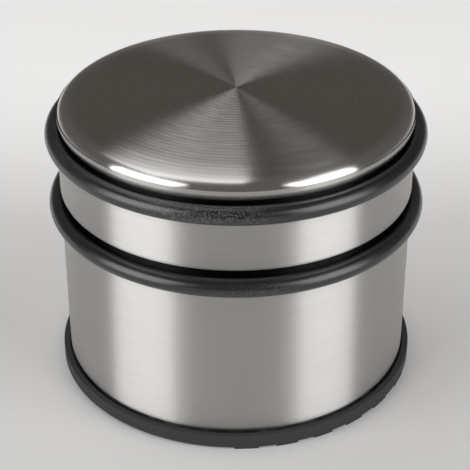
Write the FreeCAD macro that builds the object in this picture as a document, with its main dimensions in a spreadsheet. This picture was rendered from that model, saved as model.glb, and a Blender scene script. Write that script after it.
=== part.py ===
import FreeCAD
import Part
import Sketcher
import math
import os

# Floor door holder: a weighted drum that stands behind an open door.
#
# A sheet-steel shell holds a cast ballast block. A lid closes it at the top, a base
# plate at the bottom, and one long bolt on the axis pulls the two together through
# the ballast. Two rubber rings sit in grooves of the wall and meet the door. A rubber
# sole with a tread is bonded under the base plate.
#
# Millimetres. The origin is on the floor, on the axis of the drum. +Z is up.

SIZES = [
    # alias, value, what it is
    ("wall_radius", 45.0, "outside radius of the drum wall"),
    ("sheet_steel", 0.7, "thickness of the shell's and the lid's sheet"),
    ("lower_wall_height", 41.5, "from the foot of the shell to the lower groove"),
    ("band_height", 13.7, "height of the band between the two grooves"),
    ("groove_depth", 1.6, "how far both ring seats lie inside the wall"),
    ("groove_play", 1.2, "width of the lower groove that its ring leaves free"),
    ("fold_radius", 1.2, "outside rounding where the wall turns into a groove"),
    ("flank", 0.1, "straight length between the two folds of a groove"),
    ("foot_rounding", 1.8, "outside rounding at the foot of the shell"),
    ("flange_width", 5.4, "how far the flange under the lid reaches in from the neck"),
    ("ring_cord", 4.5, "thickness of the rubber rings"),
    ("ring_clearance", 0.1, "between a ring and the seat that it is stretched over"),
    ("ring_settle", 0.3, "how far a ring sinks past the rounded edge of its seat"),
    ("lid_inset", 0.2, "how much smaller the lid's radius is than the wall's"),
    ("lid_rounding", 3.6, "outside rounding of the lid's edge"),
    ("lid_crown", 2.0, "how much the middle of the lid rises above its edge"),
    ("lid_side", 0.7, "upright height between the lid's rounding and its hem"),
    ("neck_ease", 0.3, "how much rounder the neck is than the lid that covers it"),
    ("lid_gap", 0.5, "between the upper ring and the lid's hem"),
    ("hem_clearance", 0.2, "between the lid's hem and the neck of the shell"),
    ("hem_land", 0.1, "flat width of the hem"),
    ("sole_web", 2.0, "from the floor to the bottom of the sole's recess"),
    ("sole_rim", 1.6, "width of the rim that stands round the drum"),
    ("rim_height", 1.8, "height of that rim above the recess"),
    ("sole_play", 0.3, "between the rim of the sole and the drum wall"),
    ("sole_edge", 0.25, "rounding of the sole's upper outer edge"),
    ("tread_depth", 0.55, "depth of the tread grooves"),
    ("tread_pitch", 9.75, "from one tread bar to the next"),
    ("tread_groove", 4.45, "width of a tread groove"),
    ("tread_grooves", 8, "number of tread grooves"),
    ("tread_turn", 28.0, "angle of the tread to the front, in degrees"),
    ("relief_width", 1.6, "how far the outer tread bars stop short of the edge"),
    ("relief_angle", 114.0, "arc over which they stop short, in degrees"),
    ("adhesive_thickness", 0.3, "thickness of the adhesive sheet"),
    ("adhesive_margin", 2.0, "from the adhesive to the plate's edge and to its well"),
    ("plate_thickness", 1.2, "thickness of the base plate and of the lid's anchor"),
    ("plate_inset", 1.0, "how much smaller the base plate's radius is than the wall's"),
    ("plate_bend", 1.8, "outside rounding of the base plate's bends"),
    ("socket_clearance", 3.8, "between the flat washer and the well of the base plate"),
    ("head_gap", 0.6, "between the bolt's head and the plane of the plate's underside"),
    ("well_clearance", 0.6, "between the well and the ballast"),
    ("ballast_clearance", 0.4, "between the ballast and the narrowest bore of the shell"),
    ("bore_clearance", 0.8, "between the bolt and the ballast"),
    ("ballast_edge", 1.5, "rounding of the ballast's upper edge"),
    ("pad_radius", 15.0, "outside radius of the foam pad"),
    ("pad_clearance", 2.5, "between the bolt and the foam pad"),
    ("pad_thickness", 2.5, "thickness of the clamped foam pad"),
    ("anchor_radius", 24.0, "outside radius of the anchor's flange"),
    ("anchor_cup", 16.0, "outside radius of the anchor's cup"),
    ("anchor_bend", 1.6, "outside rounding of the anchor's bends"),
    ("bolt_radius", 4.0, "radius of the bolt's thread"),
    ("hole_clearance", 0.3, "between the bolt and the holes of plates and washers"),
    ("thread_clearance", 0.1, "between the bolt and the bore of the nut"),
    ("head_flats", 13.0, "across the flats of the bolt's head and the nut"),
    ("head_height", 5.3, "height of the bolt's head"),
    ("nut_height", 6.5, "height of the nut"),
    ("corner_chamfer", 0.8, "height of the chamfer on the corners of a hexagon"),
    ("bolt_reach", 1.0, "how far the bolt stands out of the nut"),
    ("weld_gap", 0.1, "between the lid's crown and the anchor welded to it"),
    ("bolt_gap", 1.1, "how far the bolt ends below the edge of the lid's anchor"),
    ("bolt_tip", 0.8, "chamfer at the end of the bolt"),
    ("washer_radius", 8.0, "outside radius of the flat washer"),
    ("washer_thickness", 1.6, "thickness of the flat washer"),
    ("spring_radius", 7.2, "outside radius of the spring washer"),
    ("spring_thickness", 2.0, "thickness of the spring washer"),
    ("spring_turn", 350.0, "arc of the split spring washer, in degrees"),
]

# What follows from the sizes, as expressions. Radii first.
WALL = "Sizes.wall_radius"
SHEET = "Sizes.sheet_steel"
PLATE = "Sizes.plate_thickness"
NECK = f"({WALL} - Sizes.groove_depth)"
NECK_BORE = f"({NECK} - {SHEET})"
ROOT = "(Sizes.groove_depth - Sizes.fold_radius - Sizes.flank)"
RING_CENTRE = f"({NECK} + Sizes.ring_clearance + Sizes.ring_cord / 2)"
LID_RADIUS = f"({WALL} - Sizes.lid_inset)"
LID_BORE = f"({LID_RADIUS} - {SHEET})"
HEM_RADIUS = f"({NECK} + Sizes.hem_clearance)"
HEM_ROUNDING = f"({LID_RADIUS} - {HEM_RADIUS} - Sizes.hem_land)"
LID_TO_NECK = f"({LID_BORE} - {NECK})"
NECK_ROUNDING = f"(Sizes.lid_rounding - {SHEET} - {LID_TO_NECK} + Sizes.neck_ease)"
FLANGE_BORE = f"({NECK} - Sizes.flange_width)"
CROWN_BALL = f"(({FLANGE_BORE}^2 + Sizes.lid_crown^2) / (2 * Sizes.lid_crown))"
SOLE_RECESS = f"({WALL} + Sizes.sole_play)"
SOLE_RADIUS = f"({SOLE_RECESS} + Sizes.sole_rim)"
PLATE_RADIUS = f"({WALL} - Sizes.plate_inset)"
WELL_BORE = "(Sizes.washer_radius + Sizes.socket_clearance)"
WELL_RADIUS = f"({WELL_BORE} + {PLATE})"
BOLT_HOLE = "(Sizes.bolt_radius + Sizes.hole_clearance)"
BALLAST_BORE = "(Sizes.bolt_radius + Sizes.bore_clearance)"
HEX_CORNER = "(Sizes.head_flats / sqrt(3))"

# Heights, from the floor up.
PLATE_UNDERSIDE = "(Sizes.sole_web + Sizes.adhesive_thickness)"
FOOT = f"({PLATE_UNDERSIDE} + {PLATE})"
GROOVE_FLOOR = f"({FOOT} + Sizes.lower_wall_height)"
GROOVE_ROOF = f"({GROOVE_FLOOR} + Sizes.ring_cord + Sizes.groove_play)"
SHOULDER = f"({GROOVE_ROOF} + Sizes.band_height)"
RING_RISE = "(Sizes.ring_cord / 2 - Sizes.ring_settle)"
HEM = f"({SHOULDER} + {RING_RISE} + Sizes.ring_cord / 2 + Sizes.lid_gap)"
LID_TOP = f"({HEM} + {HEM_ROUNDING} + Sizes.lid_side + Sizes.lid_rounding)"
LID_UNDERSIDE = f"({LID_TOP} - {SHEET})"
CROWN_AT_ANCHOR = f"(Sizes.lid_crown - {CROWN_BALL} + sqrt({CROWN_BALL}^2 - Sizes.anchor_radius^2))"
ANCHOR_TOP = f"({LID_UNDERSIDE} + {CROWN_AT_ANCHOR} - Sizes.weld_gap)"

# Heights of the clamping parts: up from the base plate, and down from the lid.
HEAD_UNDERSIDE = f"({PLATE_UNDERSIDE} + Sizes.head_gap)"
HEAD_TOP = f"({HEAD_UNDERSIDE} + Sizes.head_height)"
SPRING_TOP = f"({HEAD_TOP} + Sizes.spring_thickness)"
WELL_CEILING = f"({SPRING_TOP} + Sizes.washer_thickness)"
BOLT_END = f"({ANCHOR_TOP} - Sizes.bolt_gap)"
NUT_TOP = f"({BOLT_END} - Sizes.bolt_reach)"
NUT_SEAT = f"({NUT_TOP} - Sizes.nut_height)"
ANCHOR_FLOOR = f"({NUT_SEAT} - {PLATE})"
BALLAST_TOP = f"({ANCHOR_FLOOR} - Sizes.pad_thickness)"

doc = FreeCAD.newDocument("DoorHolder")


def make_sheet():
    """The spreadsheet that holds every driving size."""
    table = doc.addObject("Spreadsheet::Sheet", "Sizes")
    for row, (alias, value, meaning) in enumerate(SIZES, start=1):
        table.set(f"A{row}", str(value))
        table.setAlias(f"A{row}", alias)
        table.set(f"B{row}", meaning)
    doc.recompute()
    return table


sheet = make_sheet()


def number(expression):
    """The present value of an expression on the sizes."""
    value = sheet.evalExpression(str(expression))
    return float(getattr(value, "Value", value))


def origin_plane(body, role):
    """One of the body's own origin planes."""
    return next(item for item in body.Origin.OriginFeatures if item.Role == role)


def new_body(name):
    body = doc.addObject("PartDesign::Body", name)
    body.Label = name
    return body


def new_sketch(body, name, plane, lift=None):
    """A sketch on an origin plane, raised along the plane's normal where asked."""
    sketch = body.newObject("Sketcher::SketchObject", name)
    sketch.AttachmentSupport = [(origin_plane(body, plane), "")]
    sketch.MapMode = "FlatFace"
    if lift:
        sketch.setExpression("AttachmentOffset.Base.z", lift)
    return sketch


def constrain(sketch, expression, *terms):
    """A constraint whose value follows an expression."""
    index = sketch.addConstraint(Sketcher.Constraint(*terms, number(expression)))
    sketch.setExpression(f"Constraints[{index}]", expression)


def unit_step(start, end):
    """Direction from one point of an outline to the next."""
    across, up = end[0] - start[0], end[1] - start[1]
    length = math.hypot(across, up)
    return across / length, up / length


def outline_line(sketch, start, end, corner):
    """A level or upright edge that keeps its corner's height or radius."""
    edge = Part.LineSegment(FreeCAD.Vector(*start, 0), FreeCAD.Vector(*end, 0))
    line = sketch.addGeometry(edge, False)
    radius, height = corner[0], corner[1]
    if abs(start[1] - end[1]) < 1e-7:
        sketch.addConstraint(Sketcher.Constraint("Horizontal", line))
        if number(height) == 0:
            sketch.addConstraint(Sketcher.Constraint("PointOnObject", line, 1, -1))
        else:
            constrain(sketch, height, "DistanceY", -1, 1, line, 1)
    else:
        sketch.addConstraint(Sketcher.Constraint("Vertical", line))
        if number(radius) == 0:
            sketch.addConstraint(Sketcher.Constraint("PointOnObject", line, 1, -2))
        else:
            constrain(sketch, radius, "DistanceX", -1, 1, line, 1)
    return line


def outline_arc(sketch, before, after, at, arrive, leave, rounding):
    """A rounding between two edges, tangent to both."""
    size = number(rounding)
    centre = FreeCAD.Vector(at[0] + size * (leave[0] - arrive[0]),
                            at[1] + size * (leave[1] - arrive[1]), 0)
    angle_in = math.atan2(-leave[1], -leave[0])
    angle_out = math.atan2(arrive[1], arrive[0])
    turns_left = arrive[0] * leave[1] - arrive[1] * leave[0] > 0
    first, last = (angle_in, angle_out) if turns_left else (angle_out, angle_in)
    if last < first:
        last += 2 * math.pi
    circle = Part.Circle(centre, FreeCAD.Vector(0, 0, 1), size)
    arc = sketch.addGeometry(Part.ArcOfCircle(circle, first, last), False)
    near, far = (1, 2) if turns_left else (2, 1)
    sketch.addConstraint(Sketcher.Constraint("Tangent", before, 2, arc, near))
    sketch.addConstraint(Sketcher.Constraint("Tangent", after, 1, arc, far))
    constrain(sketch, rounding, "Radius", arc)


def square_outline(sketch, corners):
    """A closed outline of level and upright edges.

    Each corner is (radius, height) or (radius, height, rounding), as expressions.
    """
    points = [(number(corner[0]), number(corner[1])) for corner in corners]
    count = len(points)
    steps = [unit_step(points[i], points[(i + 1) % count]) for i in range(count)]
    cuts = [number(corner[2]) if len(corner) > 2 else 0.0 for corner in corners]
    lines = []
    for i in range(count):
        after = (i + 1) % count
        start = (points[i][0] + cuts[i] * steps[i][0], points[i][1] + cuts[i] * steps[i][1])
        end = (points[after][0] - cuts[after] * steps[i][0],
               points[after][1] - cuts[after] * steps[i][1])
        lines.append(outline_line(sketch, start, end, corners[i]))
    for i in range(count):
        if len(corners[i]) > 2:
            outline_arc(sketch, lines[i - 1], lines[i], points[i], steps[i - 1], steps[i],
                        corners[i][2])
        else:
            sketch.addConstraint(Sketcher.Constraint("Coincident", lines[i - 1], 2, lines[i], 1))


def turned(body, name, corners, turn="360"):
    """An outline turned about the axis of the drum."""
    sketch = new_sketch(body, name + "_outline", "XZ_Plane")
    square_outline(sketch, corners)
    feature = body.newObject("PartDesign::Revolution", name + "_turned")
    feature.Profile = sketch
    feature.ReferenceAxis = (sketch, ["V_Axis"])
    feature.setExpression("Angle", turn)
    sketch.Visibility = False
    return feature


def turned_piece(name, corners, turn="360"):
    body = new_body(name)
    turned(body, name, corners, turn)
    return body


def ring_section(inner, outer, bottom, top):
    """The corners of a plain ring with a square section."""
    return [(inner, bottom), (outer, bottom), (outer, top), (inner, top)]


def crown_outline(sketch, base):
    """A shallow dome over the flange's bore, from its base height up."""
    span, foot, ball = number(FLANGE_BORE), number(base), number(CROWN_BALL)
    top = foot + number("Sizes.lid_crown")
    half = math.asin(span / ball)
    level = Part.LineSegment(FreeCAD.Vector(0, foot, 0), FreeCAD.Vector(span, foot, 0))
    circle = Part.Circle(FreeCAD.Vector(0, top - ball, 0), FreeCAD.Vector(0, 0, 1), ball)
    dome = Part.ArcOfCircle(circle, math.pi / 2 - half, math.pi / 2)
    axis = Part.LineSegment(FreeCAD.Vector(0, top, 0), FreeCAD.Vector(0, foot, 0))
    for edge in (level, dome, axis):
        sketch.addGeometry(edge, False)
    sketch.addConstraint(Sketcher.Constraint("Horizontal", 0))
    sketch.addConstraint(Sketcher.Constraint("PointOnObject", 0, 1, -2))
    constrain(sketch, base, "DistanceY", -1, 1, 0, 1)
    constrain(sketch, FLANGE_BORE, "DistanceX", -1, 1, 0, 2)
    sketch.addConstraint(Sketcher.Constraint("Coincident", 0, 2, 1, 1))
    sketch.addConstraint(Sketcher.Constraint("Coincident", 1, 2, 2, 1))
    sketch.addConstraint(Sketcher.Constraint("Coincident", 2, 2, 0, 1))
    sketch.addConstraint(Sketcher.Constraint("Vertical", 2))
    sketch.addConstraint(Sketcher.Constraint("PointOnObject", 1, 3, -2))
    constrain(sketch, CROWN_BALL, "Radius", 1)


def press_crown(body, kind, name, base):
    """Adds or takes away the dome over the flange's bore."""
    sketch = new_sketch(body, name + "_outline", "XZ_Plane")
    crown_outline(sketch, base)
    feature = body.newObject(kind, name)
    feature.Profile = sketch
    feature.ReferenceAxis = (sketch, ["V_Axis"])
    feature.Angle = 360
    sketch.Visibility = False
    doc.recompute()


def make_lid():
    """Pressed lid: crowned top, rounded edge and a hem that turns in towards the neck."""
    inner_hem = f"({HEM} + {SHEET})"
    body = turned_piece("lid", [
        ("0", LID_UNDERSIDE),
        (LID_BORE, LID_UNDERSIDE, f"(Sizes.lid_rounding - {SHEET})"),
        (LID_BORE, inner_hem, f"({HEM_ROUNDING} - {SHEET})"),
        (HEM_RADIUS, inner_hem),
        (HEM_RADIUS, HEM),
        (LID_RADIUS, HEM, HEM_ROUNDING),
        (LID_RADIUS, LID_TOP, "Sizes.lid_rounding"),
        ("0", LID_TOP),
    ])
    doc.recompute()
    press_crown(body, "PartDesign::Revolution", "crown_above", LID_TOP)
    press_crown(body, "PartDesign::Groove", "crown_below", LID_UNDERSIDE)
    return body


def make_shell():
    """Drum wall of one sheet: foot, lower wall, rolled groove, band, neck and flange."""
    inner_wall = f"({WALL} - {SHEET})"
    inner_fold = f"(Sizes.fold_radius - {SHEET})"
    inner_root = f"({ROOT} + {SHEET})"
    flange_underside = f"({LID_UNDERSIDE} - {SHEET})"
    return turned_piece("shell", [
        (NECK_BORE, FOOT),
        (WALL, FOOT, "Sizes.foot_rounding"),
        (WALL, GROOVE_FLOOR, "Sizes.fold_radius"),
        (NECK, GROOVE_FLOOR, ROOT),
        (NECK, GROOVE_ROOF, ROOT),
        (WALL, GROOVE_ROOF, "Sizes.fold_radius"),
        (WALL, SHOULDER, "Sizes.fold_radius"),
        (NECK, SHOULDER, ROOT),
        (NECK, LID_UNDERSIDE, NECK_ROUNDING),
        (FLANGE_BORE, LID_UNDERSIDE),
        (FLANGE_BORE, flange_underside),
        (NECK_BORE, flange_underside, f"({NECK_ROUNDING} - {SHEET})"),
        (NECK_BORE, f"({SHOULDER} - {SHEET})", inner_root),
        (inner_wall, f"({SHOULDER} - {SHEET})", inner_fold),
        (inner_wall, f"({GROOVE_ROOF} + {SHEET})", inner_fold),
        (NECK_BORE, f"({GROOVE_ROOF} + {SHEET})", inner_root),
        (NECK_BORE, f"({GROOVE_FLOOR} - {SHEET})", inner_root),
        (inner_wall, f"({GROOVE_FLOOR} - {SHEET})", inner_fold),
        (inner_wall, f"({FOOT} + {SHEET})", f"(Sizes.foot_rounding - {SHEET})"),
        (NECK_BORE, f"({FOOT} + {SHEET})"),
    ])


def make_ring(name, seat_height):
    """Round rubber cord ring that stands proud of the wall and meets the door."""
    ring = doc.addObject("Part::Torus", name)
    ring.Label = name
    ring.setExpression("Radius1", RING_CENTRE)
    ring.setExpression("Radius2", "Sizes.ring_cord / 2")
    ring.setExpression("Placement.Base.z", f"{seat_height} + {RING_RISE}")
    return ring


def make_ballast():
    """Cast block with a hole for the bolt and a pocket over the base plate's well."""
    pocket_radius = f"({WELL_RADIUS} + Sizes.well_clearance)"
    pocket_ceiling = f"({WELL_CEILING} + {PLATE} + Sizes.well_clearance)"
    block_radius = f"({NECK_BORE} - Sizes.ballast_clearance)"
    return turned_piece("ballast", [
        (pocket_radius, FOOT),
        (block_radius, FOOT),
        (block_radius, BALLAST_TOP, "Sizes.ballast_edge"),
        (BALLAST_BORE, BALLAST_TOP),
        (BALLAST_BORE, pocket_ceiling),
        (pocket_radius, pocket_ceiling),
    ])


def make_base_plate():
    """Pressed plate that closes the drum; its well hides the head of the bolt."""
    inner_bend = f"(Sizes.plate_bend - {PLATE})"
    return turned_piece("base_plate", [
        (WELL_BORE, PLATE_UNDERSIDE, "Sizes.plate_bend"),
        (PLATE_RADIUS, PLATE_UNDERSIDE),
        (PLATE_RADIUS, FOOT),
        (WELL_RADIUS, FOOT, inner_bend),
        (WELL_RADIUS, f"({WELL_CEILING} + {PLATE})", "Sizes.plate_bend"),
        (BOLT_HOLE, f"({WELL_CEILING} + {PLATE})"),
        (BOLT_HOLE, WELL_CEILING),
        (WELL_BORE, WELL_CEILING, inner_bend),
    ])


def make_lid_anchor():
    """Pressed cup welded under the lid; the bolt pulls on its floor."""
    inner_cup = f"(Sizes.anchor_cup - {PLATE})"
    inner_bend = f"(Sizes.anchor_bend - {PLATE})"
    return turned_piece("lid_anchor", [
        (BOLT_HOLE, ANCHOR_FLOOR),
        ("Sizes.anchor_cup", ANCHOR_FLOOR, "Sizes.anchor_bend"),
        ("Sizes.anchor_cup", f"({ANCHOR_TOP} - {PLATE})", inner_bend),
        ("Sizes.anchor_radius", f"({ANCHOR_TOP} - {PLATE})"),
        ("Sizes.anchor_radius", ANCHOR_TOP),
        (inner_cup, ANCHOR_TOP, "Sizes.anchor_bend"),
        (inner_cup, NUT_SEAT, inner_bend),
        (BOLT_HOLE, NUT_SEAT),
    ])


def make_ballast_pad():
    """Foam ring clamped between the ballast and the anchor, so that nothing rattles."""
    bore = "(Sizes.bolt_radius + Sizes.pad_clearance)"
    section = ring_section(bore, "Sizes.pad_radius", BALLAST_TOP, ANCHOR_FLOOR)
    return turned_piece("ballast_pad", section)


def make_sole_adhesive():
    """Adhesive sheet between the base plate and the sole."""
    bore = f"({WELL_RADIUS} + Sizes.adhesive_margin)"
    edge = f"({PLATE_RADIUS} - Sizes.adhesive_margin)"
    section = ring_section(bore, edge, "Sizes.sole_web", PLATE_UNDERSIDE)
    return turned_piece("sole_adhesive", section)


def make_flat_washer():
    section = ring_section(BOLT_HOLE, "Sizes.washer_radius", SPRING_TOP, WELL_CEILING)
    return turned_piece("flat_washer", section)


def make_spring_washer():
    """Split washer, pressed flat by the tightened bolt."""
    section = ring_section(BOLT_HOLE, "Sizes.spring_radius", HEAD_TOP, SPRING_TOP)
    return turned_piece("spring_washer", section, "Sizes.spring_turn")


def add_hexagon(body, name, bottom, height):
    """A hexagon across the named flats, standing on the axis."""
    prism = body.newObject("PartDesign::AdditivePrism", name)
    prism.AttachmentSupport = [(origin_plane(body, "XY_Plane"), "")]
    prism.MapMode = "FlatFace"
    prism.Polygon = 6
    prism.setExpression("Circumradius", HEX_CORNER)
    prism.setExpression("Height", height)
    prism.setExpression("AttachmentOffset.Base.z", bottom)
    return prism


def chamfer_corners(body, name, face_height, inward):
    """Turns the corners of a hexagon down to its flats at one face.

    inward is +1 where the hexagon lies above the face and -1 where it lies below.
    """
    flat = "Sizes.head_flats / 2"
    beyond = f"({HEX_CORNER} + Sizes.corner_chamfer)"
    inner_height = f"({face_height} + {inward} * Sizes.corner_chamfer)"
    points = [(flat, face_height), (beyond, face_height), (beyond, inner_height)]
    sketch = new_sketch(body, name + "_outline", "XZ_Plane")
    spots = [FreeCAD.Vector(number(across), number(up), 0) for across, up in points]
    for i in range(3):
        sketch.addGeometry(Part.LineSegment(spots[i], spots[(i + 1) % 3]), False)
    for i in range(3):
        sketch.addConstraint(Sketcher.Constraint("Coincident", i, 2, (i + 1) % 3, 1))
    for i, (across, up) in enumerate(points):
        constrain(sketch, across, "DistanceX", -1, 1, i, 1)
        constrain(sketch, up, "DistanceY", -1, 1, i, 1)
    groove = body.newObject("PartDesign::Groove", name)
    groove.Profile = sketch
    groove.ReferenceAxis = (sketch, ["V_Axis"])
    groove.setExpression("Angle", "360")
    sketch.Visibility = False
    return groove


def make_tie_bolt():
    """Hexagon bolt that holds the lid, the ballast and the base plate together."""
    body = new_body("tie_bolt")
    add_hexagon(body, "bolt_head", HEAD_UNDERSIDE, "Sizes.head_height")
    chamfer_corners(body, "bolt_head_chamfer", HEAD_UNDERSIDE, 1)
    shank = new_sketch(body, "shank_outline", "XY_Plane", HEAD_TOP)
    circle = Part.Circle(FreeCAD.Vector(), FreeCAD.Vector(0, 0, 1), number("Sizes.bolt_radius"))
    shank.addGeometry(circle, False)
    shank.addConstraint(Sketcher.Constraint("Coincident", 0, 3, -1, 1))
    constrain(shank, "Sizes.bolt_radius", "Radius", 0)
    pad = body.newObject("PartDesign::Pad", "shank")
    pad.Profile = shank
    pad.setExpression("Length", f"{BOLT_END} - {HEAD_TOP}")
    shank.Visibility = False
    doc.recompute()
    tip = next(f"Edge{i}" for i, edge in enumerate(pad.Shape.Edges, start=1)
               if len(edge.Vertexes) == 1
               and abs(edge.BoundBox.ZMin - number(BOLT_END)) < 1e-6)
    chamfer = body.newObject("PartDesign::Chamfer", "bolt_tip_chamfer")
    chamfer.Base = (pad, [tip])
    chamfer.setExpression("Size", "Sizes.bolt_tip")
    return body


def make_anchor_nut():
    """Hexagon nut on the floor of the lid's anchor."""
    body = new_body("anchor_nut")
    add_hexagon(body, "nut_block", NUT_SEAT, "Sizes.nut_height")
    chamfer_corners(body, "nut_chamfer", NUT_TOP, -1)
    bore = new_sketch(body, "nut_bore_outline", "XY_Plane", NUT_TOP)
    radius = "Sizes.bolt_radius + Sizes.thread_clearance"
    circle = Part.Circle(FreeCAD.Vector(), FreeCAD.Vector(0, 0, 1), number(radius))
    bore.addGeometry(circle, False)
    bore.addConstraint(Sketcher.Constraint("Coincident", 0, 3, -1, 1))
    constrain(bore, radius, "Radius", 0)
    pocket = body.newObject("PartDesign::Pocket", "nut_bore")
    pocket.Profile = bore
    pocket.setExpression("Length", "Sizes.nut_height")
    bore.Visibility = False
    return body


def cut_tread(body):
    """Parallel grooves across the underside, laid out evenly about the axis."""
    first = "((1 - Sizes.tread_grooves) / 2 * Sizes.tread_pitch)"
    left = f"({first} - Sizes.tread_groove / 2)"
    right = f"({first} + Sizes.tread_groove / 2)"
    overrun = f"({SOLE_RADIUS} + Sizes.sole_rim)"
    sketch = new_sketch(body, "tread_outline", "XY_Plane")
    square_outline(sketch, [(left, f"-{overrun}"), (right, f"-{overrun}"),
                            (right, overrun), (left, overrun)])
    groove = body.newObject("PartDesign::Pocket", "tread_groove_cut")
    groove.Profile = sketch
    groove.Reversed = True
    groove.setExpression("Length", "Sizes.tread_depth")
    row = body.newObject("PartDesign::LinearPattern", "tread_row")
    row.Originals = [groove]
    row.Direction = (sketch, ["H_Axis"])
    row.setExpression("Occurrences", "Sizes.tread_grooves")
    row.setExpression("Length", "(Sizes.tread_grooves - 1) * Sizes.tread_pitch")
    body.Tip = row
    sketch.Visibility = False


def cut_edge_relief(body):
    """A step round one side, where the outer tread bars stop short of the edge."""
    inner = f"-({SOLE_RADIUS} - Sizes.relief_width)"
    outer = f"-({SOLE_RADIUS} + Sizes.relief_width)"
    sketch = new_sketch(body, "relief_outline", "XZ_Plane")
    square_outline(sketch, [(outer, "0"), (inner, "0"),
                            (inner, "Sizes.tread_depth"), (outer, "Sizes.tread_depth")])
    relief = body.newObject("PartDesign::Groove", "edge_relief")
    relief.Profile = sketch
    relief.ReferenceAxis = (sketch, ["V_Axis"])
    relief.Midplane = True
    relief.setExpression("Angle", "Sizes.relief_angle")
    sketch.Visibility = False


def make_sole():
    """Rubber sole: a tray that takes the foot of the drum, with a tread below."""
    rim_top = "(Sizes.sole_web + Sizes.rim_height)"
    body = new_body("sole")
    turned(body, "sole", [
        ("0", "0"),
        (SOLE_RADIUS, "0"),
        (SOLE_RADIUS, rim_top, "Sizes.sole_edge"),
        (SOLE_RECESS, rim_top),
        (SOLE_RECESS, "Sizes.sole_web"),
        ("0", "Sizes.sole_web"),
    ])
    doc.recompute()
    cut_tread(body)
    cut_edge_relief(body)
    body.setExpression("Placement.Rotation.Angle", "Sizes.tread_turn")
    return body


def make_pieces():
    return [
        make_lid(),
        make_lid_anchor(),
        make_anchor_nut(),
        make_ring("upper_ring", SHOULDER),
        make_shell(),
        make_ring("lower_ring", GROOVE_FLOOR),
        make_ballast(),
        make_ballast_pad(),
        make_base_plate(),
        make_flat_washer(),
        make_spring_washer(),
        make_tie_bolt(),
        make_sole_adhesive(),
        make_sole(),
    ]


def check(pieces):
    """Stops with a message if anything in the document failed."""
    for item in doc.Objects:
        if "Invalid" in item.State or "Error" in item.State:
            raise RuntimeError(f"{item.Name} failed: {item.State}")
    for piece in pieces:
        if piece.Shape.isNull() or not piece.Shape.isValid():
            raise RuntimeError(f"{piece.Label} has no valid shape")
        if len(piece.Shape.Solids) != 1:
            raise RuntimeError(f"{piece.Label} has {len(piece.Shape.Solids)} solids")


def write(pieces):
    os.makedirs("parts", exist_ok=True)
    for piece in pieces:
        piece.Shape.exportStep(f"parts/{piece.Label}.step")
        box = piece.Shape.BoundBox
        print(f"{piece.Label:14} volume {piece.Shape.Volume:10.1f} mm3, "
              f"z {box.ZMin:6.2f} to {box.ZMax:6.2f}, radius {box.XMax:6.2f}")


all_pieces = make_pieces()
doc.recompute()
check(all_pieces)
write(all_pieces)
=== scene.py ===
# %% [markdown]
# # A floor door holder
#
# The object is a heavy steel drum that stands on the floor and stops a door. It has a lid
# that was brushed while it turned, a wall brushed round and round, two black rubber rings
# that meet the door, and a rubber sole with a tread.
#
# The lesson builds the pieces that are seen as fresh meshes, by turning outlines about the
# drum's axis, and gives the pieces inside better finishes. It starts by loading the frame,
# which says where every piece lies, in metres.

# %% Load the frame
import math

import bpy
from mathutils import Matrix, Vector


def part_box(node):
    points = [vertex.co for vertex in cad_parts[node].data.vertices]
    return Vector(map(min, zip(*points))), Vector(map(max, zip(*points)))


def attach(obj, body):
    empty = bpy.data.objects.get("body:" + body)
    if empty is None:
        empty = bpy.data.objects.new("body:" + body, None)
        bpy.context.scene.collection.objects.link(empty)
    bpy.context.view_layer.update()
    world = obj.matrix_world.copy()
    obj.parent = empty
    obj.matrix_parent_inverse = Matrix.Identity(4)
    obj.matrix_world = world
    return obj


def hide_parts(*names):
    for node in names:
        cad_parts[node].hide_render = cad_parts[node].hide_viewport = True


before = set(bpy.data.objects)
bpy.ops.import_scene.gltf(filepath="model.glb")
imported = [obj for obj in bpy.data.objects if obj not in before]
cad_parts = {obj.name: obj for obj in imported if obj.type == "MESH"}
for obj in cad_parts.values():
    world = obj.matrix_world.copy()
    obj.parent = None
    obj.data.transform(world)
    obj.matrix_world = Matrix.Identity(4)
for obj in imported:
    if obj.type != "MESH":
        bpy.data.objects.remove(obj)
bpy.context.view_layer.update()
MM = 0.001
print("pieces in the frame:", sorted(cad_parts))

# %% [markdown]
# ## Sizes
#
# The main sizes are read from the boxes of the frame's pieces, so the looks follow the
# construction. What a box can't say, such as the rounding of a fold, is written here once.

# %% Read the main sizes
wall_low, wall_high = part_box("shell")
lid_low, lid_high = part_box("lid")
_, sole_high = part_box("sole")
upper_low, upper_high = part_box("upper_ring")
lower_low, lower_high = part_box("lower_ring")

WALL_RADIUS = wall_high.x
LID_RADIUS = lid_high.x
SOLE_RADIUS = max(sole_high.x, sole_high.y)
CORD = upper_high.z - upper_low.z
RING_RADIUS = upper_high.x - CORD / 2
UPPER_MIDDLE = (upper_low.z + upper_high.z) / 2
LOWER_MIDDLE = (lower_low.z + lower_high.z) / 2
print(f"wall {WALL_RADIUS / MM:.1f} mm, lid {LID_RADIUS / MM:.1f} mm, cord {CORD / MM:.2f} mm")

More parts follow.
